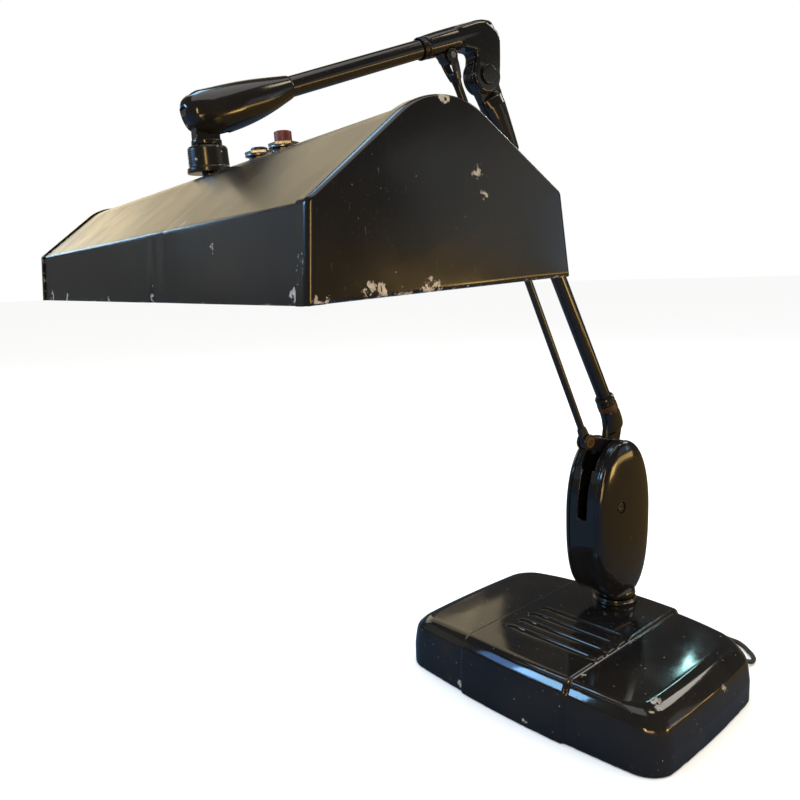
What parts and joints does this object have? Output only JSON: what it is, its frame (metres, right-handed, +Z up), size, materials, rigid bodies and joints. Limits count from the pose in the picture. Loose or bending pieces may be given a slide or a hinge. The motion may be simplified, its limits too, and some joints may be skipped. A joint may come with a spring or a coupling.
{
  "type": "desk lamp",
  "caption": "Floating-arm fluorescent desk lamp: weighted base, swivelling spring housing, parallelogram arm, egg-shaped tilt knuckle and a long folded reflector with two tubes.",
  "frame": {"origin": "centre of the base's underside, on the surface that the lamp stands on", "axes": "+Z up, X along the base's long side, -Y towards the front where the reflector hangs"},
  "size_m": [0.4965, 0.6063, 0.5926],
  "materials": {
    "enamel": "black baked enamel, glossy, worn at the edges",
    "white_enamel": "white enamel, satin",
    "steel": "plated steel",
    "chrome": "polished",
    "iron": "rough casting",
    "ballast_steel": "matt black varnish",
    "brown_metal": "oxidised, dull",
    "rubber": "matt",
    "bakelite": "moulded",
    "felt": "short felt",
    "lamp_glass": "opal phosphor coating inside clear glass",
    "button_black": "moulded",
    "button_red": "moulded, scuffed"
  },
  "bodies": {
    "base": {"base_cover": "enamel", "base_felt": "felt", "base_pan": "steel", "base_weight": "iron", "base_screw_1": "steel", "base_screw_2": "steel", "base_screw_3": "steel", "base_screw_4": "steel", "ballast": "ballast_steel", "swivel_post": "steel", "swivel_nut": "steel", "swivel_collar": "enamel", "cord_gland": "rubber", "cord": "rubber", "cord_coil": "rubber", "cord_plug": "bakelite"},
    "housing": {"housing_frame": "enamel", "housing_shell_right": "enamel", "housing_shell_left": "enamel", "housing_bolt": "steel", "housing_bolt_nut": "steel", "pivot_pin": "steel", "spring_anchor": "steel", "spring_lower": "steel", "spring_upper": "steel"},
    "lower_arm": {"lower_knuckle": "enamel", "friction_ring": "brown_metal", "jam_ring": "enamel", "lower_tube": "enamel", "elbow_knuckle": "enamel"},
    "crank": {"crank": "brown_metal", "crank_pin": "steel"},
    "rod": {"control_rod": "enamel"},
    "upper_arm": {"elbow_boot": "enamel", "elbow_pin": "enamel", "rod_pin": "steel", "boot_collar": "steel", "upper_tube": "enamel", "egg_shell_right": "enamel", "egg_shell_left": "enamel", "egg_screw": "steel", "tilt_pin": "steel"},
    "tilt": {"tilt_tongue": "enamel"},
    "head": {"stem_collar": "enamel", "stem_nut": "steel", "reflector_shell": "enamel", "end_cap_right": "enamel", "end_cap_left": "enamel", "wireway": "white_enamel", "lamp_holder_right": "white_enamel", "lamp_holder_left": "white_enamel", "lamp_front": "lamp_glass", "lamp_back": "lamp_glass", "switch_off_body": "bakelite", "switch_off_nut": "chrome", "switch_start_body": "bakelite", "switch_start_nut": "chrome"},
    "button_off": {"button_off": "button_black"},
    "button_start": {"button_start": "button_red"}
  },
  "joints": [
    {"name": "base_swivel", "type": "hinge", "parent": "base", "child": "housing", "pos_m": [0, 0.076, 0.06], "axis": [0, 0, 1], "range_deg": [-170, 170]},
    {"name": "lower_arm_tilt", "type": "hinge", "parent": "housing", "child": "lower_arm", "pos_m": [-0.00147, 0.0651, 0.219], "axis": [0.991, -0.134, 0], "range_deg": [-35, 35], "deforming": ["spring_lower"]},
    {"name": "elbow_tilt", "type": "hinge", "parent": "lower_arm", "child": "upper_arm", "pos_m": [-0.02317, -0.09534, 0.5492], "axis": [0.991, -0.134, 0], "range_deg": [-13, 36]},
    {"name": "crank_follow", "type": "hinge", "parent": "lower_arm", "child": "crank", "pos_m": [-0.00147, 0.0651, 0.219], "axis": [0.991, -0.134, 0], "range_deg": [-13, 36], "deforming": ["spring_upper"]},
    {"name": "rod_follow", "type": "hinge", "parent": "crank", "child": "rod", "pos_m": [-0.00611, 0.03081, 0.2295], "axis": [0.991, -0.134, 0], "range_deg": [-36, 13]},
    {"name": "head_tilt", "type": "hinge", "parent": "upper_arm", "child": "tilt", "pos_m": [-0.05473, -0.32882, 0.50003], "axis": [0.991, -0.134, 0], "range_deg": [-50, 25]},
    {"name": "head_swivel", "type": "hinge", "parent": "tilt", "child": "head", "pos_m": [-0.05473, -0.32882, 0.50003], "axis": [-0.0066, -0.0519, 0.9986], "range_deg": [-60, 60]},
    {"name": "button_off_press", "type": "slide", "parent": "head", "child": "button_off", "axis": [0.0066, 0.0519, -0.9986], "range_m": [0, 0.001], "stiffness_N_per_m": 400},
    {"name": "button_start_press", "type": "slide", "parent": "head", "child": "button_start", "axis": [0.0066, 0.0519, -0.9986], "range_m": [0, 0.0025], "stiffness_N_per_m": 400}
  ],
  "couplings": [
    {"joint": "crank_follow", "follows": "elbow_tilt", "ratio": 1},
    {"joint": "rod_follow", "follows": "elbow_tilt", "ratio": -1}
  ]
}
